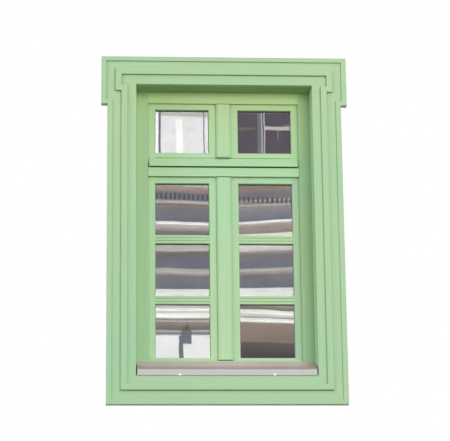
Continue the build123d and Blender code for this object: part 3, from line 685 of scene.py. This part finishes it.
def street_finish():
    """Bands and shapes that glow where they are mirrored, and plain white where looked at directly."""
    material = bpy.data.materials.new("street bands")
    material.use_nodes = True
    tree = material.node_tree
    tree.nodes.clear()
    waver = worked(tree, "SUBTRACT", noise(tree, (1.1, 1, 0.9), 2), 0.5)
    height = worked(tree, "SUBTRACT", position(tree, "Z"), street_rise)
    height = worked(tree, "DIVIDE", height, street_scale)
    height = worked(tree, "MULTIPLY_ADD", waver, street_waver, height)
    across = worked(tree, "SUBTRACT", position(tree, "X"), street_shift)
    across = worked(tree, "DIVIDE", across, street_scale)
    lean = worked(tree, "MULTIPLY", ranged(tree, height, *right_lean), across)
    lean = worked(tree, "ADD", worked(tree, "ADD", height, lean), ranged(tree, height, *right_lift))
    fading = ranged(tree, height, *right_fading)
    right = mixed(tree, "MULTIPLY", 1.0, banded(tree, lean, street_right), fading)
    inward = worked(tree, "SUBTRACT", across, left_lean_middle)
    inward = worked(tree, "MULTIPLY", ranged(tree, height, *left_lean), inward)
    inward = worked(tree, "ADD", height, inward)
    left = banded(tree, inward, street_left)
    colour = mixed(tree, "MIX", worked(tree, "GREATER_THAN", across, 0.0), left, right)
    row = worked(tree, "COMPARE", inward, blocks_middle, blocks_height / 2)
    beat = worked(tree, "PINGPONG", across, blocks_pitch / 2)
    block_shade = worked(tree, "MULTIPLY", row, worked(tree, "GREATER_THAN", beat, blocks_pitch / 4))
    block_shade = worked(tree, "MULTIPLY", block_shade, blocks_strength)
    colour = mixed(tree, "MIX", block_shade, colour, linear(plum_shade))
    for left_side, right_side, foot, head, rgb in street_shapes:
        beside = worked(tree, "COMPARE", across, (left_side + right_side) / 2, (right_side - left_side) / 2)
        level = worked(tree, "COMPARE", height, (foot + head) / 2, (head - foot) / 2)
        colour = mixed(tree, "MIX", worked(tree, "MULTIPLY", beside, level), colour, linear(rgb))
    blotches = ranged(tree, noise(tree, (3, 3, 9), 4, 0.65), 0.3, 0.7, *street_blotches)
    colour = mixed(tree, "MULTIPLY", 1.0, colour, blotches)
    path = tree.nodes.new("ShaderNodeLightPath")
    glow = tree.nodes.new("ShaderNodeEmission")
    mirrored = worked(tree, "GREATER_THAN", path.outputs["Glossy Depth"], 0.5)
    colour = mixed(tree, "MIX", mirrored, (1, 1, 1, 1), colour)
    strength = ranged(tree, mirrored, 0, 1, 1.0, street_glow)
    tree.links.new(strength, glow.inputs["Strength"])
    tree.links.new(colour, glow.inputs["Color"])
    output = tree.nodes.new("ShaderNodeOutputMaterial")
    tree.links.new(glow.outputs["Emission"], output.inputs["Surface"])
    return material


def card(name, width, height, middle, material, mirrored):
    """An upright stage card, seen through the panes and, if it is mirrored, in them."""
    bpy.ops.object.select_all(action="DESELECT")
    bpy.ops.mesh.primitive_plane_add(size=1, location=middle, rotation=(math.pi / 2, 0, 0))
    piece = bpy.context.object
    piece.scale = (width, height, 1)
    settled(piece, name)
    piece.data.materials.append(material)
    piece.visible_camera = False
    piece.visible_diffuse = False
    piece.visible_shadow = False
    piece.visible_glossy = mirrored


bpy.ops.object.select_all(action="DESELECT")
bpy.ops.mesh.primitive_plane_add(size=floor_size, location=(0, 0, floor_level))
floor = bpy.context.object
floor.name = "stage_floor"
floor.data.materials.append(plain("pale floor", (235, 233, 228), strength=0.4))
floor.visible_diffuse = False
unlit_room = plain("unlit room", (30, 29, 28), strength=0.05)
card("stage_street", street_width, street_height, street_middle, street_finish(), mirrored=True)
card("stage_room", room_width, room_height, room_middle, unlit_room, mirrored=False)


# The light: a soft sky that is brighter above than below and dims again overhead, a broad lamp from the
# right across the street, a weaker one along the facade from the left and another for the room side.
sky_tint = (240, 241, 240)
sky_high = 1.0
sky_low = 0.12
sky_overhead = 0.6
horizon_reach = 0.1
overhead_from = 0.4
world = bpy.data.worlds.new("studio")
bpy.context.scene.world = world
world.use_nodes = True
sky = world.node_tree
sky.nodes.clear()
heading = sky.nodes.new("ShaderNodeTexCoord")
heading_axes = sky.nodes.new("ShaderNodeSeparateXYZ")
sky.links.new(heading.outputs["Generated"], heading_axes.inputs["Vector"])
path = sky.nodes.new("ShaderNodeLightPath")
seen = worked(sky, "MAXIMUM", path.outputs["Is Camera Ray"], path.outputs["Is Transmission Ray"])
seen = worked(sky, "MAXIMUM", seen, path.outputs["Is Glossy Ray"])
lit = sky.nodes.new("ShaderNodeBackground")
lit.inputs["Color"].default_value = linear(sky_tint)
above = ranged(sky, heading_axes.outputs["Z"], -horizon_reach, horizon_reach, sky_low, sky_high)
overhead = ranged(sky, heading_axes.outputs["Z"], overhead_from, 1.0, 1.0, sky_overhead)
sky.links.new(worked(sky, "MULTIPLY", above, overhead), lit.inputs["Strength"])
white = sky.nodes.new("ShaderNodeBackground")
white.inputs["Color"].default_value = (1, 1, 1, 1)
white.inputs["Strength"].default_value = 1.0
choice = sky.nodes.new("ShaderNodeMixShader")
sky.links.new(seen, choice.inputs["Fac"])
sky.links.new(lit.outputs["Background"], choice.inputs[1])
sky.links.new(white.outputs["Background"], choice.inputs[2])
result = sky.nodes.new("ShaderNodeOutputWorld")
sky.links.new(choice.outputs["Shader"], result.inputs["Surface"])


def soft_lamp(name, place, target, size, power, rgb):
    """A soft lamp that lights the window and shows in nothing."""
    lamp = bpy.data.lights.new(name, "AREA")
    lamp.shape = "RECTANGLE"
    lamp.size, lamp.size_y = size
    lamp.energy = power
    lamp.color = linear(rgb)[:3]
    holder = bpy.data.objects.new(name, lamp)
    bpy.context.scene.collection.objects.link(holder)
    holder.location = place
    holder.rotation_euler = (Vector(target) - Vector(place)).to_track_quat("-Z", "Y").to_euler()
    holder.visible_camera = False
    holder.visible_glossy = False
    holder.visible_transmission = False


middle = (0, 0, 1.1)
right_side = (0.5, 0, 1.1)
soft_lamp("lamp_street", (4.0, -9.0, 2.9), middle, size=(6.0, 4.0), power=460, rgb=(255, 254, 252))
soft_lamp("lamp_side", (-8.0, -4.0, 1.5), right_side, size=(3.0, 4.0), power=130, rgb=(252, 254, 255))
soft_lamp("lamp_room", (-2.5, 8.0, 5.0), middle, size=(5.0, 5.0), power=250, rgb=(255, 254, 252))


# The camera stands low across the street, a little to the left, and looks up at the window through a long
# lens. Its turns are in radians: aside, up, and a slight tilt.
camera_place = (-0.7271, -11.579, -2.0522)
camera_aside = -0.0625
camera_up = 0.2696
camera_tilt = 0.0113
camera_lens = 156.21
camera_data = bpy.data.cameras.new("camera")
camera_data.lens = camera_lens
camera_data.sensor_width = 36
camera_data.clip_end = 200
camera = bpy.data.objects.new("camera", camera_data)
bpy.context.scene.collection.objects.link(camera)
turn = Matrix.Rotation(camera_aside, 3, "Z") @ Matrix.Rotation(camera_up, 3, "X")
turn = turn @ Matrix.Rotation(camera_tilt, 3, "Y")
right_axis, forward_axis, up_axis = turn.col[0], turn.col[1], turn.col[2]
aim = Matrix((right_axis, up_axis, -forward_axis)).transposed()
camera.matrix_world = Matrix.Translation(camera_place) @ aim.to_4x4()
bpy.context.scene.camera = camera
bpy.context.scene.view_settings.view_transform = "Standard"
